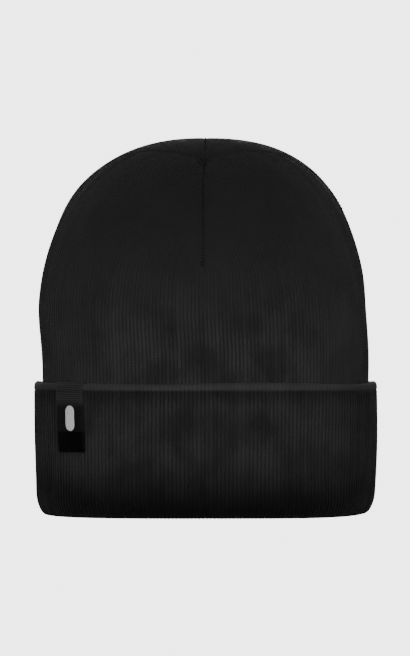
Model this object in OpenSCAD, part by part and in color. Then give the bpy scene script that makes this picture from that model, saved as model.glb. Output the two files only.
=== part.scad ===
// Cuffed knit beanie: a lined crown with four darts, a turned-up cuff of two leaves,
// a folded ribbon label over the cuff's hem and a blank care label inside.
// +Z is up, the front faces -Y, and the origin is the middle of the rim's underside.

/* [Crown] */
// Width of the crown at its widest level
crown_w = 197; // [160:1:240]
// Depth of the crown at its widest level
crown_d = 162; // [130:1:200]
// Height of the whole hat with its cuff turned up
hat_h = 228; // [190:1:280]
// Height of the crown's widest level
widest_z = 114; // [95:1:140]
// How much each side narrows from the widest level down to the rim
wall_taper = 2.4; // [0:0.1:4]
// Squareness of the outline from above, where 2 is an ellipse
plan_n = 2.6; // [2:0.1:3.2]
// Squareness of the dome from the front
side_m = 2.4; // [2:0.1:3]
// Squareness of the dome from the side
front_m = 2; // [1.8:0.1:2.6]

/* [Knit layers] */
// Thickness of the outer knit
knit_t = 2; // [1.5:0.1:2.5]
// Thickness of the lining knit
lining_t = 1.8; // [1.4:0.1:2.4]
// Air between the outer knit and the lining
layer_gap = 0.2; // [0.15:0.05:0.5]

/* [Cuff] */
// Height of the turned-up cuff
cuff_h = 80; // [64:1:96]
// Thickness of each leaf of the cuff
leaf_t = 1.9; // [1.5:0.1:2.4]
// Air between the cuff's two leaves
leaf_gap = 0.1; // [0.1:0.05:0.3]
// Room between the cuff and the crown inside it
slide_gap = 1.2; // [1.1:0.1:2]
// Height of the soft roll along the hem
hem_roll_h = 3; // [2:0.5:5]
// Height of the round at the rim's outer corner
rim_round_h = 9; // [6:0.5:14]
// Radius of the round at the rim's inner corner
rim_inner_r = 1.6; // [1:0.1:2]
// Width of the flat strip that the rim stands on
rest_w = 1.8; // [1:0.2:2.4]
// Room between the rim's fold and the crown's lower edge
rim_gap = 1.1; // [0.8:0.1:2]

/* [Darts and gathers] */
// Latitude on the dome's front where the darts meet, in degrees above the widest level
apex_lat = 62; // [55:1:80]
// Latitude where the front dart ends
front_dart_end = 17; // [8:1:40]
// Latitude where the two side darts end
side_dart_end = 32; // [15:1:50]
// Latitude where the back dart ends
back_dart_end = 50; // [20:1:70]
// Radius of the linking thread
thread_r = 0.5; // [0.3:0.05:0.8]
// Radius of the drawn-up gathering ring
gather_r = 3.5; // [2.5:0.5:6]

/* [Ribbon label] */
// Direction of the label from the middle of the hat, in degrees from +X
label_dir = 222.5; // [200:0.5:250]
// Width of the ribbon
label_w = 21; // [14:1:28]
// Thickness of one layer of ribbon
ribbon_t = 0.6; // [0.4:0.05:0.7]
// Thickness of the folded loop that hangs in front
flap_t = 1.6; // [1.2:0.1:2.4]
// Length of the folded loop below its bend
flap_l = 35; // [25:1:45]
// How far the bend lies below the top of the hem
flap_drop = 6; // [5:0.5:12]
// How far the ribbon's tail reaches down behind the hem
tail_l = 14; // [8:1:30]
// Width of the plain woven oblong on the label
mark_w = 7; // [3:0.5:9]
// Height of the plain woven oblong on the label
mark_l = 15; // [10:1:20]
// Thickness of the plain woven oblong
mark_t = 0.3; // [0.2:0.05:0.5]

/* [Care label] */
// Width of the care label
care_w = 28; // [20:1:36]
// Length of the care label below its seam
care_l = 42; // [30:1:48]
// Height of the care label's seam above the rim
care_z = 60; // [54:1:75]
// Thickness of the folded care label
care_t = 0.8; // [0.5:0.1:1.2]
// Height of the care label's sewn end
care_tab_h = 5; // [3:0.5:8]

/* [Stitches] */
// Radius of the sewing thread
stitch_r = 0.2; // [0.15:0.05:0.3]
// Length of one stitch
stitch_l = 1.8; // [1:0.1:3]
// Space from one stitch to the next
stitch_pitch = 3; // [2.5:0.5:5]

/* [Hidden] */

// Steps round the hat, up its dome, along a seam and round a thread
around = 56;
dome_rings = 13;
seam_rings = 16;
thread_sides = 6;
corner_steps = 4;
ribbon_steps = 4;

// Clearance between pieces that touch lightly, under a ribbon that is sewn on, and between
// pieces on different bodies
touch = 0.1;
sewn_gap = 0.2;
clear = 0.35;

crown_x = crown_w / 2;
crown_y = crown_d / 2;
dome_h = hat_h - widest_z;

// Distances from the crown's outer face, outwards positive
shell_in = -knit_t;
lining_out = shell_in - layer_gap;
lining_in = lining_out - lining_t;
cuff_in = slide_gap;
leaf_split = cuff_in + leaf_t;
outer_leaf_in = leaf_split + leaf_gap;
cuff_out = outer_leaf_in + leaf_t;
rest_in = lining_in + rim_inner_r;
rest_out = rest_in + rest_w;

// Levels of the fold at the rim and of the roll at the hem
inner_lip_z = leaf_t + leaf_gap;
fold_h = inner_lip_z + leaf_t;
crown_bottom = fold_h + rim_gap;
hem_base_z = cuff_h - hem_roll_h;
inner_leaf_top = hem_base_z - 1;
hem_mid = (cuff_in + cuff_out) / 2;
hem_half = (cuff_out - cuff_in) / 2;

// The label's bend, and the room that its rolled top turns in
bend_z = cuff_h - flap_drop;
bend_d = cuff_out + clear + flap_t / 2;
bend_room = flap_t / 2 + 0.7;
tab_z = care_z + care_t / 2 + 0.7;

// ---- Outlines ----

function signed_pow(v, e) = sign(v) * pow(abs(v), e);
function plan_x(turn) = signed_pow(cos(turn), 2 / plan_n);
function plan_y(turn) = signed_pow(sin(turn), 2 / plan_n);

// How much narrower the wall is at a level than at its widest
function narrowing(z) = wall_taper * (1 - z / widest_z);

// A point at distance d from the crown's outer face, at the level z, on a wall cut at wall_z
function wall_pt(d, z, turn, wall_z) = [
    (crown_x - narrowing(wall_z) + d) * plan_x(turn),
    (crown_y - narrowing(wall_z) + d) * plan_y(turn),
    z
];

function dome_m(turn) = side_m * pow(cos(turn), 2) + front_m * pow(sin(turn), 2);

// A point on the dome at distance d from the crown's outer face
function dome_pt(lat, turn, d) =
    let (spread = pow(cos(lat), 2 / dome_m(turn)), rise = pow(sin(lat), 2 / dome_m(turn)))
    [(crown_x + d) * spread * plan_x(turn), (crown_y + d) * spread * plan_y(turn),
     widest_z + (dome_h + d) * rise];

// The dome's height above a point of the plan
function dome_z(x, y, d) =
    let (px = pow(abs(x) / (crown_x + d), plan_n), py = pow(abs(y) / (crown_y + d), plan_n))
    let (m = (side_m * px + front_m * py) / (px + py))
    widest_z + (dome_h + d) * pow(1 - pow(px + py, m / plan_n), 1 / m);

// A run up the front, over the top and down the back, by latitude from the front
function crest_pt(lat, d) = lat <= 90 ? dome_pt(lat, 270, d) : dome_pt(180 - lat, 90, d);

// A curve from the darts' meeting point out to a side, with s from 0 to 1
function side_run_pt(s, side, d) =
    let (reach = dome_pt(side_dart_end, 0, d)[0], forward = dome_pt(apex_lat, 270, d)[1])
    let (x = reach * s, y = forward * (1 - x / (crown_x + d)))
    [side * x, y, dome_z(x, y, d)];

function arc(mid_d, mid_z, rd, rz, from, to) = [
    for (i = [0:corner_steps])
        let (a = from + (to - from) * i / corner_steps)
        [mid_d + rd * cos(a), mid_z + rz * sin(a)]
];

// Half the turn whose chord across the outline has a given width, found by halving a bracket
function half_turn(d, turn, width, low = 0, high = 40, tries = 16) =
    let (mid = (low + high) / 2)
    let (chord = norm(wall_pt(d, 0, turn + mid, cuff_h) - wall_pt(d, 0, turn - mid, cuff_h)))
    tries == 0 ? mid
    : chord < width ? half_turn(d, turn, width, mid, high, tries - 1)
    : half_turn(d, turn, width, low, mid, tries - 1);

// The direction in which the outline faces at a turn
function facing(turn) =
    let (v = wall_pt(0, 0, turn + 0.5, cuff_h) - wall_pt(0, 0, turn - 0.5, cuff_h))
    atan2(v[1], v[0]) - 90;

// ---- Solids swept from them ----

// A closed section of [d, z] points carried all round the wall
module around_wall(section) {
    n = len(section);
    polyhedron(
        points = [for (i = [0:around - 1], p = section) wall_pt(p[0], p[1], 360 * i / around, p[1])],
        faces = [
            for (i = [0:around - 1], j = [0:n - 1])
                let (a = i * n, b = ((i + 1) % around) * n, k = (j + 1) % n)
                each [[a + j, a + k, b + j], [b + j, a + k, b + k]]
        ]
    );
}

// One knit layer of the crown: a wall and a dome, open at the bottom
module crown_layer(outer_d, inner_d) {
    levels = dome_rings + 1;
    skin = around * levels + 1;
    function ring_pt(d, level, i) = level == 0
        ? wall_pt(d, crown_bottom, 360 * i / around, crown_bottom)
        : dome_pt(90 * (level - 1) / dome_rings, 360 * i / around, d);
    function skin_pts(d) = concat(
        [for (level = [0:levels - 1], i = [0:around - 1]) ring_pt(d, level, i)],
        [[0, 0, widest_z + dome_h + d]]
    );
    function band(first, level, i, flip) =
        let (a = first + level * around, k = (i + 1) % around)
        let (p = a + i, q = a + k, r = a + around + i, s = a + around + k)
        flip ? [[p, q, r], [q, s, r]] : [[p, r, q], [q, r, s]];
    polyhedron(
        points = concat(skin_pts(outer_d), skin_pts(inner_d)),
        faces = concat(
            [for (level = [0:levels - 2], i = [0:around - 1]) each band(0, level, i, false)],
            [for (level = [0:levels - 2], i = [0:around - 1]) each band(skin, level, i, true)],
            [for (i = [0:around - 1])
                let (a = around * (levels - 1), k = (i + 1) % around)
                each [[a + i, skin - 1, a + k], [skin + a + i, skin + a + k, 2 * skin - 1]]],
            [for (i = [0:around - 1])
                let (k = (i + 1) % around)
                each [[i, k, skin + i], [k, skin + k, skin + i]]]
        )
    );
}

// A closed section of [d, z] points carried along a short stretch of the wall cut at wall_z,
// or along the tapered wall itself where wall_z is left out. The section goes out along one side
// and back along the other with as many points, so each end closes as a strip between the two.
module along_wall(section, turn, width, wall_z = undef) {
    n = len(section);
    last = ribbon_steps * n;
    polyhedron(
        points = [
            for (i = [0:ribbon_steps])
                let (share = 2 * i / ribbon_steps - 1)
                let (at = turn + sign(share) * half_turn(section[0][0], turn, width * abs(share)))
                for (p = section)
                    wall_pt(p[0], p[1], at, is_undef(wall_z) ? p[1] : wall_z)
        ],
        faces = concat(
            [for (i = [0:ribbon_steps - 1], j = [0:n - 1])
                let (a = i * n, b = a + n, k = (j + 1) % n)
                each [[a + j, a + k, b + j], [b + j, a + k, b + k]]],
            [for (j = [0:n / 2 - 2])
                let (k = n - 1 - j)
                each [[k - 1, j + 1, j], [k, k - 1, j],
                    [last + j, last + j + 1, last + k - 1], [last + j, last + k - 1, last + k]]]
        )
    );
}

// A thread along a path, with its sides laid out from the direction across
module thread(path, across) {
    last = len(path) - 1;
    polyhedron(
        points = [
            for (i = [0:last])
                let (ahead = path[min(i + 1, last)] - path[max(i - 1, 0)])
                let (u = cross(ahead, across) / norm(cross(ahead, across)))
                let (v = cross(u, ahead) / norm(cross(u, ahead)))
                for (k = [0:thread_sides - 1])
                    let (a = 360 * k / thread_sides)
                    path[i] + thread_r * (cos(a) * u + sin(a) * v)
        ],
        faces = concat(
            [for (i = [0:last - 1], k = [0:thread_sides - 1])
                let (a = i * thread_sides, b = a + thread_sides, m = (k + 1) % thread_sides)
                each [[a + k, a + m, b + k], [b + k, a + m, b + m]]],
            [[for (k = [thread_sides - 1:-1:0]) k],
             [for (k = [0:thread_sides - 1]) last * thread_sides + k]]
        )
    );
}

// The latitude that a seam leaves free round the gathering ring
degree_l = norm([crown_y * sin(apex_lat), dome_h * cos(apex_lat)]) * PI / 180;
ring_free = (gather_r + 3 * thread_r) / degree_l;
ring_free_share = (gather_r + 3 * thread_r) / dome_pt(side_dart_end, 0, 0)[0];

module crest_seam(d, from, to) {
    thread([for (i = [0:seam_rings]) crest_pt(from + (to - from) * i / seam_rings, d)], [1, 0, 0]);
}

module front_seam(d) {
    crest_seam(d, apex_lat - ring_free, front_dart_end);
}

module back_seam(d) {
    crest_seam(d, apex_lat + ring_free, 180 - back_dart_end);
}

module side_seam(d, side) {
    path = [
        for (i = [0:seam_rings])
            side_run_pt(ring_free_share + (1 - ring_free_share) * i / seam_rings, side, d)
    ];
    thread(path, [0, 1, 0]);
}

// A ring of thread lying on the dome where the darts meet
module gather_ring(d) {
    lean = crest_pt(apex_lat - 1, d) - crest_pt(apex_lat + 1, d);
    translate(crest_pt(apex_lat, d))
        rotate([atan2(-lean[2], -lean[1]), 0, 0])
        rotate_extrude($fn = 48)
        translate([gather_r, 0])
        circle(r = thread_r, $fn = 24);
}

// A row of short upright stitches in front of a ribbon
module stitch_row(d, z, turn, width) {
    count = floor((width - stitch_l) / stitch_pitch) + 1;
    for (i = [0:count - 1]) {
        offset = (i - (count - 1) / 2) * stitch_pitch;
        at = turn + sign(offset) * half_turn(d, turn, 2 * abs(offset));
        translate(wall_pt(d, z, at, z))
            cylinder(h = stitch_l, r = stitch_r, center = true, $fn = 16);
    }
}

// ---- Crown ----

module crown_shell() {
    color("#232326") crown_layer(0, shell_in);
}

module crown_lining() {
    color("#2c2c30") crown_layer(lining_out, lining_in);
}

// ---- Cuff ----

module cuff_outer_leaf() {
    section = concat(
        [[lining_out, fold_h], [lining_in, fold_h]],
        arc(rest_in, rim_inner_r, rim_inner_r, rim_inner_r, 180, 270),
        arc(rest_out, rim_round_h, cuff_out - rest_out, rim_round_h, 270, 360),
        arc(hem_mid, hem_base_z, hem_half, hem_roll_h, 0, 90),
        arc(hem_mid, hem_base_z, -hem_half, hem_roll_h, 90, 0),
        [[cuff_in, inner_leaf_top + leaf_gap], [outer_leaf_in, inner_leaf_top + leaf_gap]],
        arc(rest_out, rim_round_h, outer_leaf_in - rest_out, rim_round_h - leaf_t, 360, 270),
        [[lining_out, leaf_t]]
    );
    color("#202023") around_wall([for (i = [0:len(section) - 1])
        if (i == 0 || norm(section[i] - section[i - 1]) > 0.001) section[i]]);
}

module cuff_inner_leaf() {
    section = concat(
        [[shell_in, fold_h], [shell_in, inner_lip_z]],
        arc(rest_out, rim_round_h, leaf_split - rest_out, rim_round_h - inner_lip_z, 270, 360),
        [[leaf_split, inner_leaf_top], [cuff_in, inner_leaf_top]],
        arc(rest_out, rim_round_h, cuff_in - rest_out, rim_round_h - fold_h, 360, 270)
    );
    color("#2a2a2d") around_wall(section);
}

// ---- Linking thread of the darts ----

shell_seam_d = thread_r + touch;
lining_seam_d = lining_in - thread_r - clear;

module dart_seam_front() {
    color("#101012") front_seam(shell_seam_d);
}

module dart_seam_back() {
    color("#101012") back_seam(shell_seam_d);
}

module dart_seam_left() {
    color("#101012") side_seam(shell_seam_d, -1);
}

module dart_seam_right() {
    color("#101012") side_seam(shell_seam_d, 1);
}

module crown_gather_ring() {
    color("#101012") gather_ring(shell_seam_d + touch);
}

module lining_seam_front() {
    color("#18181a") front_seam(lining_seam_d);
}

module lining_seam_back() {
    color("#18181a") back_seam(lining_seam_d);
}

module lining_seam_left() {
    color("#18181a") side_seam(lining_seam_d, -1);
}

module lining_seam_right() {
    color("#18181a") side_seam(lining_seam_d, 1);
}

module lining_gather_ring() {
    color("#18181a") gather_ring(lining_seam_d);
}

// ---- Ribbon label ----

// The ribbon's sewn stretch: a short front end, over the hem's roll, and a tail behind it
module label_saddle() {
    near = sewn_gap;
    far = sewn_gap + ribbon_t;
    over = arc(hem_mid, hem_base_z, hem_half + far, hem_roll_h + far, 0, 90);
    down = arc(hem_mid, hem_base_z, -hem_half - far, hem_roll_h + far, 80, 0);
    back_up = arc(hem_mid, hem_base_z, -hem_half - near, hem_roll_h + near, 0, 90);
    front_down = arc(hem_mid, hem_base_z, hem_half + near, hem_roll_h + near, 80, 0);
    section = concat(
        [[cuff_out + far, bend_z + bend_room]],
        over,
        down,
        [[cuff_in - far, hem_base_z - tail_l], [cuff_in - near, hem_base_z - tail_l]],
        back_up,
        front_down,
        [[cuff_out + near, bend_z + bend_room]]
    );
    color("#2b2b2e") along_wall(section, label_dir, label_w);
}

// The folded loop that hangs free in front of the cuff, rolled at its top and its lower end
module label_flap() {
    half = flap_t / 2;
    section = concat(
        arc(bend_d, bend_z, half, half, 0, 180),
        arc(bend_d, bend_z - flap_l + half, half, half, 180, 360)
    );
    color("#1a1a1c") along_wall(section, label_dir, label_w, bend_z);
}

// A plain upright oblong with round ends
module label_mark() {
    face = wall_pt(bend_d + flap_t / 2 + touch, bend_z - flap_l * 0.42, label_dir, bend_z);
    round_z = (mark_l - mark_w) / 2;
    color("#c9c9c9")
        translate(face)
        rotate([90, 0, facing(label_dir) + 90])
        linear_extrude(mark_t) {
            square([mark_w, mark_l - mark_w], center = true);
            for (end = [-1, 1])
                translate([0, end * round_z])
                    circle(d = mark_w, $fn = 48);
        }
}

module label_stitches() {
    color("#101012")
        stitch_row(cuff_out + sewn_gap + ribbon_t + touch + stitch_r, hem_base_z, label_dir, label_w);
}

// ---- Care label ----

care_d = lining_in - clear - care_t;
care_tab_d = lining_in - sewn_gap - ribbon_t;

module care_label_tab() {
    color("#d8d8d4")
        along_wall([
            [care_tab_d, tab_z], [lining_in - sewn_gap, tab_z],
            [lining_in - sewn_gap, tab_z + care_tab_h], [care_tab_d, tab_z + care_tab_h]
        ], 90, care_w);
}

// The care label hangs upright, clear of the wall where the wall comes in furthest
module care_label() {
    half = care_t / 2;
    low = care_z - care_l;
    section = concat(
        arc(care_d + half, care_z, half, half, 0, 180),
        arc(care_d + half, low + half, half, half, 180, 360)
    );
    color("#e2e2de") along_wall(section, 90, care_w, low);
}

module care_label_stitches() {
    color("#b8b8b4")
        stitch_row(care_tab_d - touch - stitch_r, tab_z + care_tab_h / 2, 90, care_w);
}

crown_shell();
crown_lining();
cuff_outer_leaf();
cuff_inner_leaf();
dart_seam_front();
dart_seam_back();
dart_seam_left();
dart_seam_right();
crown_gather_ring();
lining_seam_front();
lining_seam_back();
lining_seam_left();
lining_seam_right();
lining_gather_ring();
label_saddle();
label_flap();
label_mark();
label_stitches();
care_label_tab();
care_label();
care_label_stitches();
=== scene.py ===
"""A cuffed knit beanie in black ribbed knit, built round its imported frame.

The crown, its lining and the turned-up cuff are real ribbed surfaces: every wale of the knit runs up
from the rim and ends where it meets one of the four darts. A ribbon label is folded over the hem."""
import math

import bmesh
import bpy
import numpy as np
from mathutils import Euler, Matrix, Vector

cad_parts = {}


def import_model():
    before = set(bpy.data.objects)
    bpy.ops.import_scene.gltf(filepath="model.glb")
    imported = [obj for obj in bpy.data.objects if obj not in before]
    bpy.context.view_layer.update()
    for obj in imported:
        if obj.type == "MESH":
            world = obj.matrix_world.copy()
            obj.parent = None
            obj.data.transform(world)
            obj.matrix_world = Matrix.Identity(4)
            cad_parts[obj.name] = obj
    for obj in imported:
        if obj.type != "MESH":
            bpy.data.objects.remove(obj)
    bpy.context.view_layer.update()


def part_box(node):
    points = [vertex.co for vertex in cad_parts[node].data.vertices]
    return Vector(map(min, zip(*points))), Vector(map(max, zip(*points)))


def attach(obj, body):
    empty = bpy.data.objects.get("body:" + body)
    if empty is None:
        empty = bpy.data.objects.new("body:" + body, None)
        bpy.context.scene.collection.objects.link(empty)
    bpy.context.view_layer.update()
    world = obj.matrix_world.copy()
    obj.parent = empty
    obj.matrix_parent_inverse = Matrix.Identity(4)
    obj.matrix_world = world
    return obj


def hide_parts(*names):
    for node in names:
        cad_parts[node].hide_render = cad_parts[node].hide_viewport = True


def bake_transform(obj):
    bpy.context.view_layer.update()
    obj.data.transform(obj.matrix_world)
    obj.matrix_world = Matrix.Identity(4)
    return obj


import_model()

MM = 0.001

# ---- Sizes, from the frame where it holds them and repeated from the part's source where it doesn't ----

crown_low, crown_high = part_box("crown_shell")
lining_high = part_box("crown_lining")[1]
cuff_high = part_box("cuff_outer_leaf")[1]

HALF_W, HALF_D, CROWN_TOP = crown_high
CROWN_FOOT = crown_low.z
CUFF_TOP = cuff_high.z
WIDEST_Z = 114 * MM
WALL_TAPER = 2.4 * MM
PLAN_N, SIDE_M, FRONT_M = 2.6, 2.4, 2.0
APEX_LAT = math.radians(62)

# Distances outwards from the crown's outer face
KNIT_T = 2.0 * MM
LINING_T = 1.8 * MM
LINING_OUT = lining_high.x - HALF_W
LINING_IN = LINING_OUT - LINING_T
CUFF_IN = 1.2 * MM
LEAF_T = 1.9 * MM
LEAF_GAP = 0.1 * MM
INNER_LEAF_OUT = CUFF_IN + LEAF_T
OUTER_LEAF_IN = INNER_LEAF_OUT + LEAF_GAP
CUFF_OUT = OUTER_LEAF_IN + LEAF_T

# The ring on which the hat stands, and the roundings of the fold over it
REST_IN = LINING_IN + 1.6 * MM
REST_OUT = REST_IN + 1.8 * MM
FOLD_H = 2 * LEAF_T + LEAF_GAP
ROUND_H = 9 * MM
SOFT_ROUND_H = 14 * MM

# The hem's roll at the cuff's top
HEM_BASE_Z = CUFF_TOP - 3 * MM
ROLL_MID = (CUFF_IN + CUFF_OUT) / 2 + 0.15 * MM
ROLL_HALF = 2.15 * MM
ROLL_H = 2.7 * MM
ROLL_Z = CUFF_TOP + 0.3 * MM - ROLL_H
NECK_Z = ROLL_Z - 3.4 * MM

# The knit
RIBS_PER_PETAL = 64
RIB_DEPTH = 0.55 * MM
COURSE = 1.55 * MM
RIB_PROFILES = {
    6: (0.0, 0.58, 0.93, 1.0, 0.93, 0.58),
    4: (0.0, 0.75, 1.0, 0.75),
}

# Where each dart begins, as a share of the way from the widest level to the darts' meeting point
DART_START = {"front": 0.26, "right": 0.33, "back": 0.45, "left": 0.33}
PETALS = ((270, "front", "right"), (0, "right", "back"), (90, "back", "left"), (180, "left", "front"))
DART_TURN = {"front": 270, "right": 0, "back": 90, "left": 180}
DART_GROOVE = {"front": 1.4 * MM, "right": 0.4 * MM, "back": 0.3 * MM, "left": 0.4 * MM}
GROOVE_W = 1.4 * MM
GATHER_R = 3.5 * MM
GATHER_THREAD_R = 0.42 * MM
DIMPLE_DEPTH = 2.6 * MM
DIMPLE_R = 4.5 * MM

# A dart stitch's length and radius, and how far apart they lie
DART_STITCH = (2.6 * MM, 0.36 * MM)
DART_STITCH_PITCH = 2.1 * MM

# The ribbon label
LABEL_TURN = 222.5
LABEL_W = 21 * MM
LABEL_LEAN = 0.07
BEND_Z = CUFF_TOP - 6 * MM
RIBBON_T = 0.6 * MM
LABEL_RIDGE = 1.27 * MM
TURN_UNDER_Z = 51.5 * MM
MARK_W, MARK_H = 7 * MM, 15 * MM
MARK_Z = 59.5 * MM
MARK_SHIFT = 2.1 * MM
MARK_CROWN = 0.32 * MM
MARK_THREAD_PITCH = 0.5 * MM

# The care label
CARE_TURN = 90
CARE_W = 28 * MM
CARE_OUT = LINING_IN - 0.75 * MM

# A tack stitch's length and radius, and the radius of the hat's outline where the labels are sewn on
TACK_STITCH = (1.9 * MM, 0.2 * MM)
OUTLINE_R = 75 * MM


# ---- The hat's shape ----

def signed_pow(v, e):
    return np.sign(v) * np.abs(v) ** e


def plan(turns):
    """The hat's plan outline, a rounded oblong, as shares of its half width and half depth."""
    a = np.radians(turns)
    return signed_pow(np.cos(a), 2 / PLAN_N), signed_pow(np.sin(a), 2 / PLAN_N)


def narrowing(z):
    """How much each side has narrowed at a level of the wall."""
    return WALL_TAPER * (1 - z / WIDEST_Z)


def outline_points(turns, out, z):
    """Points at level z, at a distance outwards from the hat's widest outline."""
    px, py = plan(turns)
    return np.stack([(HALF_W + out) * px, (HALF_D + out) * py, np.zeros_like(px) + z], -1)


def wall_points(turns, z, d, cut_z=None):
    """Points at distance d from the crown's outer face, on a wall cut at cut_z."""
    return outline_points(turns, d - narrowing(z if cut_z is None else cut_z), z)


def run_along(points):
    """How far each point of a line is from the first, along the line."""
    return np.concatenate([[0], np.cumsum(np.linalg.norm(np.diff(points, axis=0), axis=1))])


def dome_exponent(px, py):
    """How full the dome's curve is: fuller towards the sides than towards the front and back."""
    total = np.maximum(px + py, 1e-12)
    return (SIDE_M * px + FRONT_M * py) / total


def dome_height(x, y, d):
    """The dome's level over a point of the plan, at distance d from the crown's outer face."""
    px = (np.abs(x) / (HALF_W + d)) ** PLAN_N
    py = (np.abs(y) / (HALF_D + d)) ** PLAN_N
    m = dome_exponent(px, py)
    inside = np.clip(1 - (px + py) ** (m / PLAN_N), 0, None)
    return WIDEST_Z + (CROWN_TOP - WIDEST_Z + d) * inside ** (1 / m)


def dome_points(turns, share, d):
    """A ring of the dome, which shrinks towards the point where the darts meet as share goes to 1."""
    px, py = plan(turns)
    reach = math.cos(share * math.pi / 2)
    forward = -(HALF_D + d) * math.cos(APEX_LAT) ** (2 / FRONT_M)
    x = (HALF_W + d) * px * reach
    y = (HALF_D + d) * py * reach + forward * (1 - reach)
    return np.stack([x, y, dome_height(x, y, d)], -1)


def ring_points(row, turns):
    """A row's points, on the wall if it has a level and on the dome if it has a share."""
    if "z" in row:
        return wall_points(turns, row["z"], row["d"])
    return dome_points(turns, row["share"], row["d"])


def hat_level(p, d):
    """A value that grows outwards through the hat's surface, for finding which way it faces."""
    x, y, z = p[..., 0], p[..., 1], p[..., 2]
    slim = np.where(z < WIDEST_Z, narrowing(z), 0)
    px = (np.abs(x) / (HALF_W - slim + d)) ** PLAN_N
    py = (np.abs(y) / (HALF_D - slim + d)) ** PLAN_N
    m = dome_exponent(px, py)
    rise = np.clip((z - WIDEST_Z) / (CROWN_TOP - WIDEST_Z + d), 0, None)
    return ((px + py) ** (m / PLAN_N) + rise ** m) ** (1 / m)


def facing(p, d):
    """Which way the hat's surface faces at each point."""
    step = 0.05 * MM
    parts = []
    for axis in range(3):
        shift = np.zeros(3)
        shift[axis] = step
        parts.append(hat_level(p + shift, d) - hat_level(p - shift, d))
    n = np.stack(parts, -1)
    return n / np.maximum(np.linalg.norm(n, axis=-1, keepdims=True), 1e-12)


def smooth_share(v):
    v = np.clip(v, 0, 1)
    return v * v * (3 - 2 * v)


def settle(p):
    """The soft unevenness of a knit hat: the crown leans and dents a little, and the hem waves."""
    x, y, z = p[..., 0].copy(), p[..., 1].copy(), p[..., 2].copy()
    turn = np.arctan2(y / HALF_D, x / HALF_W)
    up = smooth_share((z - 86 * MM) / (60 * MM))
    high = np.clip((z - WIDEST_Z) / (CROWN_TOP - WIDEST_Z), 0, 1.1)
    dent = up * MM * (
        0.8 * np.sin(3 * turn + 1.3) * np.sin(z / (27 * MM) + 0.5)
        + 0.5 * np.sin(5 * turn - 0.7) * np.sin(z / (17 * MM) + 2.0)
        + 0.3 * np.sin(9 * turn + 2.1) * np.sin(z / (11 * MM))
    )
    radius = np.maximum(np.hypot(x, y), 1e-6)
    fade = np.clip(radius / (30 * MM), 0, 1)
    wall_wave = MM * (0.35 * np.sin(3 * turn + 0.4) + 0.25 * np.sin(7 * turn + 1.9))
    shoulder_band = np.exp(-((z - 165 * MM) / (24 * MM)) ** 2)
    shoulder = -MM * np.where(x > 0, 2.0, 0.9) * np.cos(turn) ** 2 * shoulder_band
    push = (dent + wall_wave + shoulder) * fade
    sway = -1.4 * MM * smooth_share((z - 90 * MM) / (40 * MM)) + 1.6 * MM * np.clip(high - 0.75, 0, 1) * 4
    hem = smooth_share((z - 60 * MM) / (18 * MM)) * (1 - smooth_share((z - 83 * MM) / (25 * MM)))
    wave = MM * (0.35 * np.sin(4 * turn + 0.8) + 0.3 * np.sin(6 * turn + 2.6))
    end_lift = np.where(x < 0, 1.0, 1.8) * MM * np.cos(turn) ** 6 * (1 - smooth_share(z / (34 * MM)))
    return np.stack([
        x + push * x / radius + sway,
        y + push * y / radius + 4.0 * MM * high ** 2,
        z + hem * wave + end_lift - 1.4 * MM * high ** 2,
    ], -1)


# ---- Mesh helpers ----

def new_object(name, bm, material, smooth=True):
    mesh = bpy.data.meshes.new(name)
    bm.to_mesh(mesh)
    bm.free()
    for polygon in mesh.polygons:
        polygon.use_smooth = smooth
    obj = bpy.data.objects.new(name, mesh)
    bpy.context.scene.collection.objects.link(obj)
    mesh.materials.append(material)
    return obj


def shaped_grids(name, sheets, material, weld=0.02 * MM):
    """One mesh from several flat grids, each moved onto rows of points and given its own UVs.

    sheets holds (points, uv) pairs of arrays shaped (rows, columns, 3) and (rows, columns, 2)."""
    bm = bmesh.new()
    for points, _ in sheets:
        rows, columns = points.shape[:2]
        bmesh.ops.create_grid(bm, x_segments=columns - 1, y_segments=rows - 1, size=1.0)
    mesh = bpy.data.meshes.new(name)
    bm.to_mesh(mesh)
    bm.free()
    flat = np.empty(len(mesh.vertices) * 3)
    mesh.vertices.foreach_get("co", flat)
    flat = flat.reshape(-1, 3)
    uv_at = np.empty((len(flat), 2))
    first = 0
    for points, uv in sheets:
        rows, columns = points.shape[:2]
        part = slice(first, first + rows * columns)
        column = np.rint((flat[part, 0] + 1) / 2 * (columns - 1)).astype(int)
        row = np.rint((flat[part, 1] + 1) / 2 * (rows - 1)).astype(int)
        flat[part] = points[row, column]
        uv_at[part] = uv[row, column]
        first += rows * columns
    mesh.vertices.foreach_set("co", flat.ravel())
    corner = np.empty(len(mesh.loops), dtype=np.int64)
    mesh.loops.foreach_get("vertex_index", corner)
    layer = mesh.uv_layers.new(name="knit")
    layer.data.foreach_set("uv", uv_at[corner].ravel())
    bm = bmesh.new()
    bm.from_mesh(mesh)
    bpy.data.meshes.remove(mesh)
    bmesh.ops.remove_doubles(bm, verts=bm.verts, dist=weld)
    bmesh.ops.dissolve_degenerate(bm, edges=bm.edges, dist=weld / 4)
    bmesh.ops.recalc_face_normals(bm, faces=bm.faces)
    return new_object(name, bm, material)


# ---- Knit surfaces ----

def uneven(wale, travelled):
    """How much a rib stands out more or less than its neighbours, which drifts as it goes up.

    It is nothing at a petal's edges, so neighbouring petals still meet."""
    drift = travelled / (19 * MM)
    return 0.24 * np.sin(9 * math.pi * wale / RIBS_PER_PETAL * 2) * np.sin(wale * 0.29 - drift + 1.0)


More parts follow.
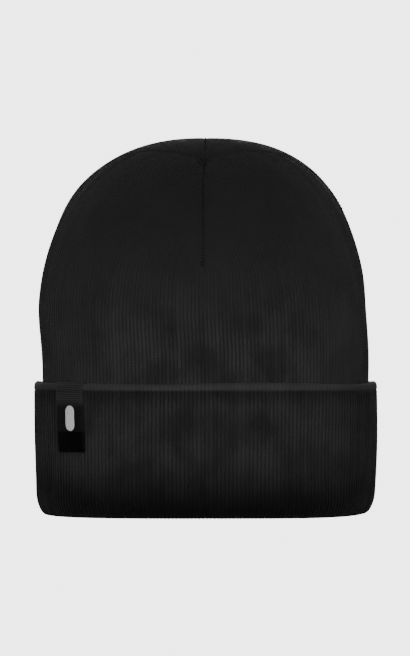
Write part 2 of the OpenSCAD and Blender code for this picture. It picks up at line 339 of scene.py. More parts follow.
def petal_sheet(rows, start, left, right, steps):
    """One of the crown's four petals. Its wales keep their width up the dome, so those that reach the
    edge of the petal end there, on the dart's line."""
    columns = RIBS_PER_PETAL * steps + 1
    nominal = np.linspace(-1, 1, columns)
    profile = np.array([RIB_PROFILES[steps][i % steps] for i in range(columns)])
    fine = np.linspace(start, start + 90, 241)

    def half_width(row):
        pts = ring_points(row, fine)
        run = run_along(pts)
        return run - run[-1] / 2, run[-1] / 2

    points, uvs = [], []
    travelled, last_mid = 0.0, None
    for row in rows:
        d = row["d"]
        run, half = half_width(row)
        _, half_ref = half_width({"share": 0.0, "d": d})
        share = row.get("share", -1.0)
        scales, starts = [], []
        for dart in (left, right):
            begin = DART_START[dart]
            _, half_begin = half_width({"share": begin, "d": d})
            scales.append((half if share < begin else half_begin) / half_ref)
            starts.append(smooth_share((share - begin + 0.02) / 0.05))
        scale = np.where(nominal < 0, scales[0], scales[1])
        seam = np.where(nominal < 0, starts[0], starts[1])
        groove_d = np.where(nominal < 0, DART_GROOVE[left], DART_GROOVE[right])
        s = nominal * half_ref * scale
        room = half - np.abs(s)
        s = np.clip(s, -half, half)
        pts = ring_points(row, np.interp(s, run, fine))
        near = smooth_share(room / (1.6 * MM))
        relief = (profile - 1) * RIB_DEPTH * (1 - seam * (1 - near)) * row["relief"]
        relief *= 0.8 - 0.5 * smooth_share(share * 2) + uneven(nominal * RIBS_PER_PETAL / 2, travelled)
        groove = seam * groove_d * np.exp(-(np.clip(room, 0, None) / GROOVE_W) ** 2)
        apex = dome_points(np.array([0.0]), 1.0, d)[0]
        dimple = DIMPLE_DEPTH * np.exp(-(np.linalg.norm(pts - apex, axis=-1) / DIMPLE_R) ** 2)
        side = row["side"]
        lift = side * (relief - groove) - dimple if side else -dimple
        pts = pts + facing(pts, d) * lift[:, None]
        mid = pts[columns // 2]
        travelled += 0 if last_mid is None else np.linalg.norm(mid - last_mid)
        last_mid = mid
        points.append(settle(pts))
        wale = s / (half_ref * scale) * RIBS_PER_PETAL / 2
        uvs.append(np.stack([wale, np.full(columns, travelled / COURSE)], -1))
    return np.array(points), np.array(uvs)


def crown_rows(foot, shown, hidden, side, wall_rows, dome_rows):
    """Rows from the hidden face's top down to the foot and up the shown face to the top."""
    back = [{"share": t, "d": hidden, "relief": 0, "side": 0} for t in np.linspace(1, 0, 8)]
    back.append({"z": foot, "d": hidden, "relief": 0, "side": 0})
    wall = [{"z": z, "d": shown, "relief": 1, "side": side}
            for z in np.linspace(foot, WIDEST_Z, wall_rows, endpoint=False)]
    dome = [{"share": t, "d": shown, "relief": 1, "side": side} for t in np.linspace(0, 1, dome_rows)]
    return back + wall + dome


def crown_knit(material):
    rows = crown_rows(CROWN_FOOT, 0.0, -KNIT_T, 1, 14, 50)
    return shaped_grids("crown_outer_knit", [petal_sheet(rows, *petal, 6) for petal in PETALS], material)


def lining_knit(material):
    rows = crown_rows(2.2 * MM, LINING_IN, LINING_OUT, -1, 22, 40)
    return shaped_grids("crown_lining_knit", [petal_sheet(rows, *petal, 4) for petal in PETALS], material)


def arc(mid_d, mid_z, rd, rz, start, stop, count):
    """Points (d, z) on part of an ellipse in the cuff's section, between two angles in degrees."""
    angles = np.radians(np.linspace(start, stop, count))
    return [(mid_d + rd * math.cos(a), mid_z + rz * math.sin(a)) for a in angles]


def wall_sheet(section, steps, shape=None):
    """A closed section of (d, z, relief) rows carried round the wall, with wales evenly spaced."""
    columns = 4 * RIBS_PER_PETAL * steps + 1
    fine = np.linspace(270, 630, 1441)
    ring = wall_points(fine, WIDEST_Z, 0.0)
    run = run_along(ring)
    turns = np.interp(np.linspace(0, run[-1], columns), run, fine)
    profile = np.array([RIB_PROFILES[steps][i % steps] for i in range(columns)])
    section = np.array(section)
    closed = np.vstack([section[-1:], section, section[:1]])
    along = closed[2:, :2] - closed[:-2, :2]
    along /= np.maximum(np.linalg.norm(along, axis=1, keepdims=True), 1e-9)
    outward = np.stack([along[:, 1], -along[:, 0]], -1)
    path = run_along(section[:, :2])
    points, uvs = [], []
    for (d, z, relief), n, travelled in zip(section, outward, path):
        lift = (profile - 1) * RIB_DEPTH * relief * (0.8 + uneven(np.arange(columns) / steps, travelled))
        pts_d = d + n[0] * lift
        pts_z = z + n[1] * lift
        if shape is not None:
            extra_d, extra_z = shape(turns, d, z)
            pts_d = pts_d + extra_d
            pts_z = pts_z + extra_z
        points.append(settle(outline_points(turns, pts_d - narrowing(z), pts_z)))
        uvs.append(np.stack([np.arange(columns) / steps, np.full(columns, travelled / COURSE)], -1))
    points.append(points[0])
    uvs.append(np.stack([np.arange(columns) / steps, np.full(columns, path[-1] / COURSE + 1)], -1))
    return np.array(points), np.array(uvs)


def cuff_belly(turns, d, z):
    """The outer leaf's own unevenness: a neck under the roll, filled in and tucked at the hat's two
    sides, and a soft belly of a few slow waves, which leaves the knit under the label flat."""
    outer = float(smooth_share((d - OUTER_LEAF_IN) / (0.6 * LEAF_T)))
    height = min(max(z / CUFF_TOP, 0.0), 1.0)
    a = np.radians(turns)
    at_sides = np.cos(a) ** 8
    neck = -0.5 * MM * math.exp(-((z - NECK_Z) / (1.9 * MM)) ** 2) * (1 - 0.8 * at_sides)
    free = 1 - np.exp(-((turns - LABEL_TURN) / 15) ** 2) - np.exp(-((turns - 360 - LABEL_TURN) / 15) ** 2)
    belly = MM * math.sin(math.pi * height) * free * (
        0.5 + 0.45 * np.sin(3 * a + 0.6 + 2.2 * height) + 0.35 * np.sin(5 * a - 1.1 - 3.0 * height)
        + 0.2 * np.sin(11 * a + 5.0 * height)
    )
    tuck = -0.4 * MM * at_sides * float(smooth_share((z - NECK_Z) / (2 * MM)))
    crease_z = ROLL_Z - 2.0 * MM
    fill = 0.55 * MM * at_sides * math.exp(-((z - crease_z) / (1.1 * MM)) ** 2)
    return outer * (neck + belly + tuck + fill), np.zeros_like(a)


def cuff_outer_knit(material):
    tab = [(LINING_IN + 0.05 * MM, z, 1) for z in (2.6 * MM, 2.0 * MM)]
    inner = arc(REST_IN, 1.6 * MM, 1.55 * MM, 1.6 * MM, 180, 270, 4)
    under = arc(REST_OUT, SOFT_ROUND_H, CUFF_OUT - REST_OUT, SOFT_ROUND_H, 270, 360, 10)
    side_z = list(np.linspace(SOFT_ROUND_H, NECK_Z - 6 * MM, 17)[1:]) + list(NECK_Z + MM * np.arange(-5, 1))
    side = [(CUFF_OUT, z) for z in side_z]
    roll = arc(ROLL_MID, ROLL_Z, ROLL_HALF, ROLL_H, -55, 188, 15)
    lip_z = HEM_BASE_Z - 1.3 * MM
    back = [(CUFF_IN + 0.1 * MM, lip_z), (OUTER_LEAF_IN, lip_z), (OUTER_LEAF_IN, ROUND_H)]
    turn_back = arc(REST_OUT, ROUND_H, OUTER_LEAF_IN - REST_OUT, ROUND_H - LEAF_T, 360, 270, 4)[1:]
    end = [(LINING_OUT - 0.2 * MM, LEAF_T), (LINING_OUT - 0.2 * MM, 2.6 * MM)]
    section = (
        tab + [(*p, 0.5) for p in inner + under] + [(*p, 1) for p in side] + [(*p, 0.1) for p in roll]
        + [(*p, 0) for p in back + turn_back + end]
    )
    return shaped_grids("cuff_outer_knit", [wall_sheet(section, 6, cuff_belly)], material)


def cuff_inner_knit(material):
    top = HEM_BASE_Z - 1.4 * MM
    outer = [(INNER_LEAF_OUT, ROUND_H, 0), (INNER_LEAF_OUT, top, 0)]
    inner = [(CUFF_IN, z, 1) for z in np.linspace(top, ROUND_H, 14)]
    turn_in = arc(REST_OUT, ROUND_H, CUFF_IN - REST_OUT, ROUND_H - FOLD_H, 360, 270, 4)[1:]
    end = [(-KNIT_T, FOLD_H, 0), (-KNIT_T, LEAF_T + LEAF_GAP, 0)]
    turn_out_h = ROUND_H - LEAF_T - LEAF_GAP
    turn_out = arc(REST_OUT, ROUND_H, INNER_LEAF_OUT - REST_OUT, turn_out_h, 270, 360, 4)[:-1]
    section = outer + inner + [(*p, 0) for p in turn_in] + end + [(*p, 0) for p in turn_out]
    return shaped_grids("cuff_inner_knit", [wall_sheet(section, 4)], material)


# ---- Threads ----

def add_stitch(bm, place, along, out, length, radius):
    """One stitch: a slim rounded grain lying along a direction."""
    x = Vector(along).normalized()
    z = (Vector(out) - x * x.dot(Vector(out))).normalized()
    y = z.cross(x)
    frame_of = Matrix((x, y, z)).transposed().to_4x4()
    grow = Matrix.Diagonal((length / 2, radius, radius, 1))
    bmesh.ops.create_icosphere(
        bm, subdivisions=2, radius=1.0, matrix=Matrix.Translation(Vector(place)) @ frame_of @ grow
    )


def dart_run(dart, d, count):
    """Points and facings along a dart's line, from near the meeting point out to where it starts."""
    first = math.acos(min(1.0, 1.6 * GATHER_R / HALF_D)) / (math.pi / 2)
    shares = np.linspace(first, DART_START[dart] + 0.01, count)
    pts = np.array([dome_points(np.array([float(DART_TURN[dart])]), s, d)[0] for s in shares])
    return pts, facing(pts, d)


def dart_seam(name, dart, d, side, material):
    """A dart's linking: a row of short slanted stitches down in its groove."""
    pts, normals = dart_run(dart, d, 241)
    run = run_along(pts)
    count = int(run[-1] / DART_STITCH_PITCH)
    bm = bmesh.new()
    for i in range(count):
        at = (i + 0.5) * DART_STITCH_PITCH
        p = np.array([np.interp(at, run, pts[:, k]) for k in range(3)])
        q = np.array([np.interp(at + 0.5 * MM, run, pts[:, k]) for k in range(3)])
        n = np.array([np.interp(at, run, normals[:, k]) for k in range(3)])
        p = settle(p - n * side * (DART_GROOVE[dart] - 0.1 * MM) * min(1.0, (count - i) / 4))
        across = np.cross(n, q - p)
        along = (q - p) / np.linalg.norm(q - p) + 0.3 * across / np.linalg.norm(across)
        add_stitch(bm, p, along, n, *DART_STITCH)
    return new_object(name, bm, material)


def gather_ring(name, d, side, material):
    """The drawn-up thread where the darts meet: two turns of thread, down in the dimple."""
    apex = dome_points(np.array([0.0]), 1.0, d)
    n = Vector(facing(apex, d)[0])
    centre = Vector(settle(apex[0])) - n * side * 0.9 * MM
    turn = n.to_track_quat("Z", "X").to_matrix().to_4x4()
    bm = bmesh.new()
    upright = Euler((math.pi / 2, 0, 0)).to_matrix().to_4x4()
    for radius, drop in ((GATHER_R * 0.86, 0.0), (GATHER_R * 0.62, 0.7 * MM)):
        place = Matrix.Translation((radius, 0, -drop)) @ upright
        ring = bmesh.ops.create_circle(bm, segments=10, radius=GATHER_THREAD_R, matrix=place)
        edges = list(dict.fromkeys(e for v in ring["verts"] for e in v.link_edges))
        bmesh.ops.spin(
            bm, geom=edges, cent=(0, 0, 0), axis=(0, 0, 1), angle=2 * math.pi, steps=40, use_merge=True
        )
    bmesh.ops.remove_doubles(bm, verts=bm.verts, dist=0.01 * MM)
    bmesh.ops.transform(bm, matrix=Matrix.Translation(centre) @ turn, verts=bm.verts)
    bmesh.ops.recalc_face_normals(bm, faces=bm.faces)
    return new_object(name, bm, material)


# ---- Ribbons ----

def along_path(path, step):
    """A path of (out, z) points, rounded off and resampled at an even step."""
    pts = np.array(path, float)
    for _ in range(3):
        cut = [pts[0]]
        for a, b in zip(pts[:-1], pts[1:]):
            cut += [a * 0.75 + b * 0.25, a * 0.25 + b * 0.75]
        pts = np.array(cut + [pts[-1]])
    run = run_along(pts)
    at = np.arange(0, run[-1], step)
    return np.stack([np.interp(at, run, pts[:, k]) for k in range(2)], -1), at


def ribbon(name, path, turn, width, ridge, ridge_h, material, lean=None, columns=14):
    """A woven ribbon of (out, z) points, where out is measured from the hat's widest outline."""
    points2, at = along_path(path, ridge / 4)
    side = np.gradient(points2, axis=0)
    side /= np.linalg.norm(side, axis=1, keepdims=True)
    normal = np.stack([-side[:, 1], side[:, 0]], -1)
    offsets = np.linspace(-0.5, 0.5, columns + 1)
    fine = np.linspace(turn - 20, turn + 20, 801)
    points, uvs = [], []
    for i, (out, z) in enumerate(points2):
        ripple = ridge_h * math.cos(2 * math.pi * at[i] / ridge)
        out, z = np.array([out, z]) + normal[i] * ripple
        ring = outline_points(fine, out, z)
        run = run_along(ring)
        middle = np.interp(turn, fine, run)
        wide = width if lean is None else width * lean(at[i], z)[1]
        shift = 0.0 if lean is None else lean(at[i], z)[0]
        where = np.interp(middle + shift + offsets * wide, run, fine)
        points.append(settle(outline_points(where, out, z)))
        uvs.append(np.stack([offsets * width / MM, np.full(columns + 1, at[i] / ridge)], -1))
    obj = shaped_grids(name, [(np.array(points), np.array(uvs))], material)
    wall = obj.modifiers.new("ribbon thickness", "SOLIDIFY")
    wall.thickness = RIBBON_T * 0.8
    wall.offset = 0
    return obj


def hug(d, z):
    """How far out a ribbon lies where it follows the wall's taper at distance d from the crown."""
    return d - narrowing(z)


def label_path():
    """Up behind the hem, over its roll, down in front, round the loop's end and back up behind."""
    over = arc(ROLL_MID, ROLL_Z, -(ROLL_HALF + 0.4 * MM), ROLL_H + 0.4 * MM, 0, 180, 9)
    path = [(hug(0.62 * MM, 68 * MM), 68 * MM), (hug(0.6 * MM, 72 * MM), 72 * MM)]
    path += [(hug(d, z), z) for d, z in over]
    front = ((6.2, 72), (6.5, 66), (6.8, 59), (6.9, 53), (6.8, 47), (6.6, 41.4), (6.3, 39.3))
    back = ((5.8, 39.7), (5.65, 42), (5.6, 50), (5.6, 60), (5.6, 70))
    return path + [(hug(d * MM, BEND_Z), z * MM) for d, z in front + back]


def label_lean(at, z):
    """The hanging loop swings a touch to the right as it goes down, and its lower end is rounded."""
    drop = max(0.0, BEND_Z - z)
    rounded = 1 - 0.05 * math.exp(-((z - 39 * MM) / (1.6 * MM)) ** 2)
    return 0.6 * MM + LABEL_LEAN * drop, rounded


# ---- Materials ----

class Nodes:
    """Small helper that adds shader nodes and links them in the order in which they are named."""

    def __init__(self, name):
        self.material = bpy.data.materials.new(name)
        self.material.use_nodes = True
        self.tree = self.material.node_tree
        self.shader = self.tree.nodes["Principled BSDF"]

    def add(self, kind, inputs=(), **settings):
        node = self.tree.nodes.new(kind)
        for key, value in settings.items():
            setattr(node, key, value)
        for key, value in dict(inputs).items():
            self.feed(value, node.inputs[key])
        return node

    def feed(self, value, socket):
        if isinstance(value, bpy.types.NodeSocket):
            self.tree.links.new(value, socket)
        else:
            socket.default_value = value

    def math(self, operation, a, b=0.0, clamp=False):
        node = self.add("ShaderNodeMath", {0: a, 1: b}, operation=operation, use_clamp=clamp)
        return node.outputs[0]

    def place(self):
        return self.add("ShaderNodeTexCoord").outputs["Object"]

    def split(self, vector):
        return self.add("ShaderNodeSeparateXYZ", {0: vector}).outputs

    def noise(self, place, scale, detail, roughness=0.5):
        inputs = {"Vector": place, "Scale": scale, "Detail": detail, "Roughness": roughness}
        return self.add("ShaderNodeTexNoise", inputs).outputs[0]

    def remap(self, value, start, end, low, high, **settings):
        """A value carried from low to high while another goes from start to end."""
        inputs = {0: value, 1: start, 2: end, 3: low, 4: high}
        return self.add("ShaderNodeMapRange", inputs, **settings).outputs[0]

    def ease(self, value, start, end, low, high):
        return self.remap(value, start, end, low, high, interpolation_type="SMOOTHSTEP")

    def scaled(self, colour, amount):
        inputs = {0: colour, "Scale": amount}
        return self.add("ShaderNodeVectorMath", inputs, operation="SCALE").outputs[0]

    def mix(self, factor, a, b):
        node = self.add("ShaderNodeMix", data_type="RGBA")
        self.feed(factor, node.inputs["Factor"])
        self.feed(a, node.inputs[6])
        self.feed(b, node.inputs[7])
        return node.outputs[2]

    def bump(self, height, distance, strength=1.0, under=None):
        node = self.add("ShaderNodeBump", {"Height": height, "Distance": distance, "Strength": strength})
        if under is not None:
            self.tree.links.new(under, node.inputs["Normal"])
        return node.outputs[0]

    def finish(self, colour, roughness, normal, **sockets):
        self.feed(colour, self.shader.inputs["Base Color"])
        self.feed(roughness, self.shader.inputs["Roughness"])
        self.tree.links.new(normal, self.shader.inputs["Normal"])
        for key, value in sockets.items():
            self.shader.inputs[key.replace("_", " ")].default_value = value
        return self.material


def grey(v):
    return (v, v, v, 1.0)


def knit_material(name, dark, light, sheen=0.05, cuff=False):
    """Rib knit on the piece's own wale and course coordinates: each rib is a column of V stitches, with a
    purl valley between ribs, fuzz on the yarn and slow unevenness in the dye. The stitches' height also
    darkens the valleys between them: painted shade."""
    m = Nodes(name)
    wale, course, _ = m.split(m.add("ShaderNodeUVMap", uv_map="knit").outputs[0])
    place = m.place()
    waver = m.noise(place, 420.0, 2.0)
    strayed = m.math("ADD", wale, m.math("MULTIPLY", m.math("SUBTRACT", waver, 0.5), 0.5))
    across = m.math("ABSOLUTE", m.math("SUBTRACT", m.math("FRACT", strayed), 0.5))
    leg_off = m.math("DIVIDE", m.math("SUBTRACT", across, 0.16), 0.17)
    leg = m.math("SQRT", m.math("SUBTRACT", 1.0, m.math("MULTIPLY", leg_off, leg_off), clamp=True))
    phase = m.math("FRACT", m.math("ADD", course, m.math("MULTIPLY", across, 1.7)))
    bead_off = m.math("SUBTRACT", m.math("MULTIPLY", phase, 2.0), 1.0)
    bead = m.math("SQRT", m.math("SUBTRACT", 1.0, m.math("MULTIPLY", bead_off, bead_off), clamp=True))
    stitch = m.math("MULTIPLY", leg, m.math("ADD", m.math("MULTIPLY", bead, 0.9), 0.12))
    course_wave = m.math("SINE", m.math("MULTIPLY", course, 2 * math.pi))
    purl = m.math("MULTIPLY", m.math("ADD", course_wave, 1.0), 0.14)
    height = m.math("MAXIMUM", stitch, purl)
    fuzz = m.noise(place, 2600.0, 3.0, 0.7)
    blotch = m.noise(place, 26.0, 4.0, 0.6)
    by_wale = {"W": m.math("FLOOR", wale), "Scale": 1.7, "Detail": 0.0}
    wale_tone = m.add("ShaderNodeTexNoise", by_wale, noise_dimensions="1D").outputs[0]
    patch = m.noise(place, 48.0, 2.0)
    clear_stitch = m.remap(patch, 0.35, 0.65, 0.25, 1.0)
    # Painted shade: the stitch height darkens the purl valleys; fuzz, blotch and wale tone are the yarn's
    # own.
    shade = m.math("ADD", m.math("MULTIPLY", height, clear_stitch), m.math("MULTIPLY", fuzz, 0.42))
    shade = m.math("ADD", shade, m.math("MULTIPLY", m.math("SUBTRACT", blotch, 0.5), 0.6))
    shade = m.math("ADD", shade, m.math("MULTIPLY", m.math("SUBTRACT", wale_tone, 0.5), 0.35), clamp=True)
    colour = m.mix(shade, grey(dark), grey(light))
    plain = grey(dark + 0.55 * (light - dark))
    colour = cuff_plain_roll_and_painted_light(m, place, colour, plain) if cuff else crown_plain_top_and_painted_shade(m, place, colour, plain)
    rough = m.math("ADD", 0.82, m.math("MULTIPLY", fuzz, 0.14))
    yarn = m.bump(height, 0.22 * MM, 0.9)
    normal = m.bump(fuzz, 0.05 * MM, 0.6, under=yarn)
    return m.finish(colour, rough, normal, Sheen_Weight=sheen, Sheen_Roughness=0.45,
                    Sheen_Tint=(0.76, 0.76, 0.76, 1.0), Specular_IOR_Level=0.1)


def crown_plain_top_and_painted_shade(m, place, colour, plain):
    """The crown's ribs show less towards its top and at its sides, and painted shade darkens its knit
    towards the top, to about a third of its tone there."""
    sideways, _, level = m.split(place)
    aside = m.math("ABSOLUTE", sideways)
    high = m.ease(level, 108 * MM, 150 * MM, 0.0, 0.75)
    outer = m.ease(aside, 45 * MM, 85 * MM, 0.0, 0.5)
    colour = m.mix(m.math("MAXIMUM", high, outer), colour, plain)
    # Painted shade: darker towards the crown's top.
    return m.scaled(colour, m.remap(level, WIDEST_Z - 10 * MM, CROWN_TOP, 1.0, 0.36))


def cuff_plain_roll_and_painted_light(m, place, colour, plain):
    """The cuff's knit is plainer along the hem's roll and painted paler there, a painted highlight. Painted
    shade darkens it where the fold turns under at the foot, just under the roll and towards the lower sides."""
    sideways, _, level = m.split(place)
    aside = m.math("ABSOLUTE", sideways)
    roll_start, roll_end = ROLL_Z - 2.4 * MM, ROLL_Z - 0.6 * MM
    colour = m.mix(m.ease(level, roll_start, roll_end, 0.0, 0.7), colour, plain)
    # Painted shade towards the lower sides.
    side_share = m.ease(aside, 72 * MM, 98 * MM, 0.0, 1.0)
    low_share = m.ease(level, 4 * MM, 32 * MM, 0.9, 0.25)
    outer = m.math("SUBTRACT", 1.0, m.math("MULTIPLY", side_share, low_share))
    # Painted shade towards the foot and just under the roll, and a painted highlight on the roll.
    foot = m.ease(level, -1 * MM, 40 * MM, 0.0, 1.0)
    roll = m.ease(level, roll_start, roll_end, 1.0, 2.7)
    neck = m.ease(level, NECK_Z - 9 * MM, NECK_Z, 1.0, 0.66)
    tone = m.math("MULTIPLY", m.math("MULTIPLY", foot, neck), m.math("MULTIPLY", roll, outer))
    return m.scaled(colour, tone)


def thread_material(name, tone, sheen=0.2):
    """Twisted thread: fine slanted plies on object coordinates."""
    m = Nodes(name)
    place = m.place()
    turned = m.add("ShaderNodeMapping", {"Vector": place, "Rotation": (0.6, 0.9, 0.4)}).outputs[0]
    ply = m.add("ShaderNodeTexWave", {"Vector": turned, "Scale": 900.0, "Distortion": 1.5}).outputs["Fac"]
    fuzz = m.noise(place, 3200.0, 2.0)
    colour = m.mix(m.math("ADD", m.math("MULTIPLY", ply, 0.6), m.math("MULTIPLY", fuzz, 0.4)),
                   grey(tone * 0.6), grey(tone * 1.3))
    return m.finish(colour, 0.8, m.bump(ply, 0.06 * MM, 0.8), Sheen_Weight=sheen, Sheen_Roughness=0.4,
                    Specular_IOR_Level=0.15)


def ribbon_material(name, tone, ridge_tone, rough, warp=2.6, gloss=0.4, hem_highlight=1.0):
    """Woven ribbon on its own coordinates: cross ridges with fine warp threads over them.

    The last argument is how much paler it is painted where it goes over the hem: a painted highlight."""
    m = Nodes(name)
    across, along, _ = m.split(m.add("ShaderNodeUVMap", uv_map="knit").outputs[0])
    threads = m.math("SINE", m.math("MULTIPLY", across, warp * 2 * math.pi))
    ridge = m.math("COSINE", m.math("MULTIPLY", along, 2 * math.pi))
    weave = m.math("MULTIPLY", m.math("ADD", m.math("MULTIPLY", threads, ridge), 1.0), 0.5)
    place = m.place()
    fuzz = m.noise(place, 1900.0, 3.0)
    lit = m.math("ADD", m.math("MULTIPLY", ridge, 0.45), 0.5)
    fuzzy_weave = m.math("MULTIPLY", m.math("MULTIPLY", weave, fuzz), 0.5)
    shade = m.math("ADD", m.math("MULTIPLY", lit, 0.6), fuzzy_weave, clamp=True)
    colour = m.mix(shade, grey(tone), grey(ridge_tone))
    level = m.split(place)[2]
    # Painted highlight: paler where the ribbon goes over the hem.
    colour = m.scaled(colour, m.ease(level, 65 * MM, 71 * MM, 1.0, hem_highlight))
    normal = m.bump(m.math("ADD", weave, m.math("MULTIPLY", fuzz, 0.4)), 0.06 * MM, 0.8)
    return m.finish(colour, m.math("ADD", rough, m.math("MULTIPLY", fuzz, 0.12)), normal,
                    Specular_IOR_Level=gloss, Sheen_Weight=0.03, Sheen_Roughness=0.4)


def stage_material(tone):
    """The pale floor: an even light grey that gives off its own tone, and lets a view from below through."""
    m = Nodes("pale_floor")
    nodes, links = m.tree.nodes, m.tree.links
    glow = m.add("ShaderNodeEmission", {"Color": (1.0, 1.0, 1.0, 1.0), "Strength": tone})
    clear = m.add("ShaderNodeBsdfTransparent")
    under = m.add("ShaderNodeNewGeometry").outputs["Backfacing"]
    mixed = m.add("ShaderNodeMixShader", {0: under, 1: glow.outputs[0], 2: clear.outputs[0]})
    links.new(mixed.outputs[0], nodes["Material Output"].inputs["Surface"])
    nodes.remove(m.shader)
    return m.material


KNIT = knit_material("black_rib_knit", 0.009, 0.035)
CUFF_KNIT = knit_material("black_rib_knit_cuff", 0.007, 0.030, cuff=True)
LINING = knit_material("black_lining_knit", 0.022, 0.07)
# Two tones of one linking thread. The darker one on the front dart is painted shade down its deep groove; it
# also sews the lining. The paler one sews the crown's other darts and its gather ring.
LINK_THREAD = thread_material("black_linking_thread", 0.003, 0.02)
PALER_LINK_THREAD = thread_material("black_linking_thread_paler", 0.011, 0.03)
LABEL_RIBBON = ribbon_material("black_grosgrain_ribbon", 0.001, 0.011, 0.7, gloss=0.1, hem_highlight=4.0)
# A much darker copy of the label's ribbon for its lower end: painted shade where the loop turns under.
LABEL_END_SHADE = ribbon_material("black_ribbon_turn_under_painted_shade", 0.0008, 0.0016, 0.6, gloss=0.05)
MARK_THREAD = thread_material("pale_woven_thread", 0.62, 0.3)
LABEL_THREAD = thread_material("black_sewing_thread", 0.006, 0.03)
CARE_RIBBON = ribbon_material("white_satin_ribbon", 0.50, 0.62, 0.35, warp=4.0, gloss=0.5)
CARE_THREAD = thread_material("white_sewing_thread", 0.55)


# ---- Build ----

def dress(piece, body, slot, *nodes):
    """Attaches a piece to its body, if it has one, and hides the nodes that it stands in for. The slot is
    not used.
    """
    if body:
        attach(piece, body)
    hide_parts(*nodes)
    return piece


crown = dress(crown_knit(KNIT), "crown", "crown_knit", "crown_shell")
cuff = dress(cuff_outer_knit(CUFF_KNIT), "cuff", "cuff_knit", "cuff_outer_leaf")
cuff_back = dress(cuff_inner_knit(LINING), "cuff", "cuff_knit", "cuff_inner_leaf")
lining = dress(lining_knit(LINING), None, "lining_knit", "crown_lining")
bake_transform(lining)

for dart in DART_TURN:
    # The front dart takes the darker thread: painted shade in its groove.
    thread = LINK_THREAD if dart == "front" else PALER_LINK_THREAD
    seam = dart_seam(f"dart_stitches_{dart}", dart, 0.0, 1, thread)
    dress(seam, "crown", "linking_thread", f"dart_seam_{dart}")
    seam = dart_seam(f"lining_stitches_{dart}", dart, LINING_IN, -1, LINK_THREAD)
    dress(seam, "crown", "lining_thread", f"lining_seam_{dart}")
dress(gather_ring("crown_gather_thread", 0.0, 1, PALER_LINK_THREAD), "crown", "linking_thread",
      "crown_gather_ring")
dress(gather_ring("lining_gather_thread", LINING_IN, -1, LINK_THREAD), "crown", "lining_thread",
      "lining_gather_ring")

label = ribbon("label_ribbon", label_path(), LABEL_TURN, LABEL_W, LABEL_RIDGE, 0.1 * MM, LABEL_RIBBON,
               label_lean)
label.data.materials.append(LABEL_END_SHADE)
# Faces below TURN_UNDER_Z take the darker copy: painted shade on the loop's turned-under end.
for polygon in label.data.polygons:
    if polygon.center.z < TURN_UNDER_Z:
        polygon.material_index = 1
dress(label, None, "label_ribbon", "label_saddle", "label_flap")


def facing_at(turn):
    """The directions straight out of the hat and along its outline."""
    a, b = wall_points(np.array([turn - 0.5, turn + 0.5]), 0.0, 0.0)
    t = Vector(b - a).normalized()
    return Vector((t.y, -t.x, 0.0)), t


OUT, ALONG = facing_at(LABEL_TURN)
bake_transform(label)


def label_mark(material):
    """A plain upright oblong in satin stitch: a crowned patch of fine cross threads."""
    rows, columns = 121, 17
    points, uvs = [], []
    for v in np.linspace(-1, 1, rows):
        z = MARK_Z + v * MARK_H / 2
        over = max(0.0, abs(v) * MARK_H / 2 - (MARK_H - MARK_W) / 2)
        half = math.sqrt(max(0.0, (MARK_W / 2) ** 2 - over ** 2))
        u = np.linspace(-1, 1, columns)
        bulge = MARK_CROWN * np.sqrt(np.clip(1 - u ** 2, 0, 1)) * min(1.0, half / (0.4 * MARK_W))
        ripple = 0.05 * MM * math.cos(2 * math.pi * v * MARK_H / 2 / MARK_THREAD_PITCH)
        shift = MARK_SHIFT + LABEL_LEAN * (BEND_Z - z)
        out = np.interp(z, [47 * MM, 53 * MM, 59 * MM, 66 * MM], [6.8 * MM, 6.9 * MM, 6.8 * MM, 6.5 * MM])
        base = Vector(wall_points(np.array([LABEL_TURN]), z, out + 0.3 * MM, BEND_Z)[0])
        row = [
            base + ALONG * (shift + half * k) + OUT * (h + ripple * h / MARK_CROWN)
            for k, h in zip(u, bulge)
        ]
        points.append(settle(np.array(row)))
        uvs.append(np.stack([u, np.full(columns, v)], -1))
    return shaped_grids("label_mark_weave", [(np.array(points), np.array(uvs))], material)


dress(label_mark(MARK_THREAD), "label_loop", "label_weave_mark", "label_mark")


def stitch_line(name, turn, d, z, width, count, material, cut_z=None):
    """A straight row of short stitches across a ribbon."""
    bm = bmesh.new()
    out, along = facing_at(turn)
    for i in range(count):
        offset = (i / (count - 1) - 0.5) * width
        mid = Vector(wall_points(np.array([float(turn)]), z, d, cut_z)[0])
        drop = offset ** 2 / (2 * OUTLINE_R)
        add_stitch(bm, settle(np.array(mid + along * offset - out * drop)), along, out, *TACK_STITCH)
    return new_object(name, bm, material)


dress(stitch_line("label_tack_stitches", LABEL_TURN, 6.35 * MM, 75.6 * MM, 16 * MM, 7, LABEL_THREAD),
      "cuff", "label_thread", "label_stitches")


def care_path():
    """From its sewn end on the lining down the front leaf, round the fold and up the back."""
    tab = [(hug(LINING_IN - 0.35 * MM, z * MM), z * MM) for z in (66, 62)]
    low = CARE_OUT - narrowing(18 * MM)
    front = [(low + 0.1 * MM, 58 * MM), (low - 0.2 * MM, 40 * MM), (low - 0.3 * MM, 20 * MM)]
    front += [(low, 18.3 * MM)]
    back = [(low + 0.35 * MM, 20 * MM), (low + 0.35 * MM, 56 * MM)]
    return tab + front + back


care = ribbon("care_label_ribbon", care_path(), CARE_TURN, CARE_W, 0.8 * MM, 0.02 * MM, CARE_RIBBON)
dress(care, None, "care_ribbon", "care_label_tab", "care_label")
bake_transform(care)
dress(stitch_line("care_label_tack_stitches", CARE_TURN, CARE_OUT, 64 * MM, 24 * MM, 9, CARE_THREAD),
      "crown", "care_thread", "care_label_stitches")


# ---- Floor, light and camera ----

PALE = 4.1
SURROUND_LIGHT = 0.09
FLOOR_Z = -60 * MM
VIEW_HEIGHTS = 1.7286
AIM_Z = 112.5 * MM


def floor():
    """Low enough that the cuff doesn't go through it when it is pulled down. It takes no shadow."""
    bm = bmesh.new()
    bmesh.ops.create_circle(bm, cap_ends=True, segments=96, radius=40.0,
                            matrix=Matrix.Translation((0, 0, FLOOR_Z)))
    obj = new_object("pale_floor", bm, stage_material(PALE), smooth=False)
    obj.visible_diffuse = False
    obj.visible_glossy = False
    obj.visible_shadow = False


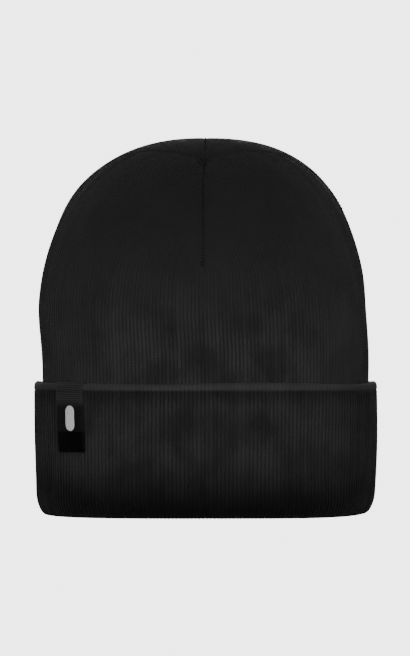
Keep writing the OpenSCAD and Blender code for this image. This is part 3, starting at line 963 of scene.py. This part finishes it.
def world():
    """An even pale surround, dimmer as a light than it looks, and dark below the horizon."""
    scene_world = bpy.data.worlds.new("pale_surround")
    bpy.context.scene.world = scene_world
    scene_world.use_nodes = True
    tree = scene_world.node_tree
    tree.nodes.clear()
    seen = tree.nodes.new("ShaderNodeBackground")
    seen.inputs[0].default_value = (1, 1, 1, 1)
    seen.inputs[1].default_value = PALE
    soft = tree.nodes.new("ShaderNodeBackground")
    soft.inputs[1].default_value = SURROUND_LIGHT
    ray = tree.nodes.new("ShaderNodeLightPath")
    mix = tree.nodes.new("ShaderNodeMixShader")
    out = tree.nodes.new("ShaderNodeOutputWorld")
    where = tree.nodes.new("ShaderNodeTexCoord")
    split = tree.nodes.new("ShaderNodeSeparateXYZ")
    ramp = tree.nodes.new("ShaderNodeMapRange")
    ramp.inputs[1].default_value = -0.25
    ramp.inputs[2].default_value = 0.35
    tree.links.new(where.outputs["Generated"], split.inputs[0])
    tree.links.new(split.outputs[2], ramp.inputs[0])
    tree.links.new(ramp.outputs[0], soft.inputs[0])
    tree.links.new(ray.outputs["Is Camera Ray"], mix.inputs[0])
    tree.links.new(soft.outputs[0], mix.inputs[1])
    tree.links.new(seen.outputs[0], mix.inputs[2])
    tree.links.new(mix.outputs[0], out.inputs[0])


def softbox(name, azimuth, elevation, distance, width, height, power):
    """A large soft light aimed at the hat's middle."""
    light = bpy.data.lights.new(name, "AREA")
    light.shape = "RECTANGLE"
    light.size, light.size_y, light.energy = width, height, power
    obj = bpy.data.objects.new(name, light)
    a, e = math.radians(azimuth), math.radians(elevation)
    back = Vector((math.sin(a) * math.cos(e), -math.cos(a) * math.cos(e), math.sin(e)))
    obj.location = Vector((0, 0, CROWN_TOP / 2)) + back * distance
    obj.rotation_euler = (-back).to_track_quat("-Z", "Y").to_euler()
    bpy.context.scene.collection.objects.link(obj)


def camera():
    """A long lens from the front, which takes in a set number of the hat's heights."""
    view_height = VIEW_HEIGHTS * (CROWN_TOP - 0.3 * MM)
    distance, sensor = 6.0, 36.0
    data = bpy.data.cameras.new("front_camera")
    data.sensor_width = sensor
    data.lens = sensor * distance / view_height
    data.clip_start, data.clip_end = 0.05, 120.0
    obj = bpy.data.objects.new("front_camera", data)
    rise = math.radians(0.5)
    aim = Vector((0, 0, AIM_Z))
    back = Vector((0, -math.cos(rise), math.sin(rise)))
    obj.location = aim + back * distance
    obj.rotation_euler = (-back).to_track_quat("-Z", "Y").to_euler()
    bpy.context.scene.collection.objects.link(obj)
    bpy.context.scene.camera = obj


floor()
world()
softbox("front_softbox", 0, 4, 2.6, 1.5, 1.0, 66)
softbox("left_fill", -125, 24, 2.8, 1.0, 1.2, 18)
softbox("right_fill", 125, 24, 2.8, 1.0, 1.2, 17)
softbox("back_fill", 180, 12, 2.8, 1.6, 1.0, 45)
softbox("top_back_fill", 180, 66, 2.8, 1.4, 0.8, 14)
softbox("low_fill", 0, -89, 2.4, 1.0, 1.0, 22)
camera()
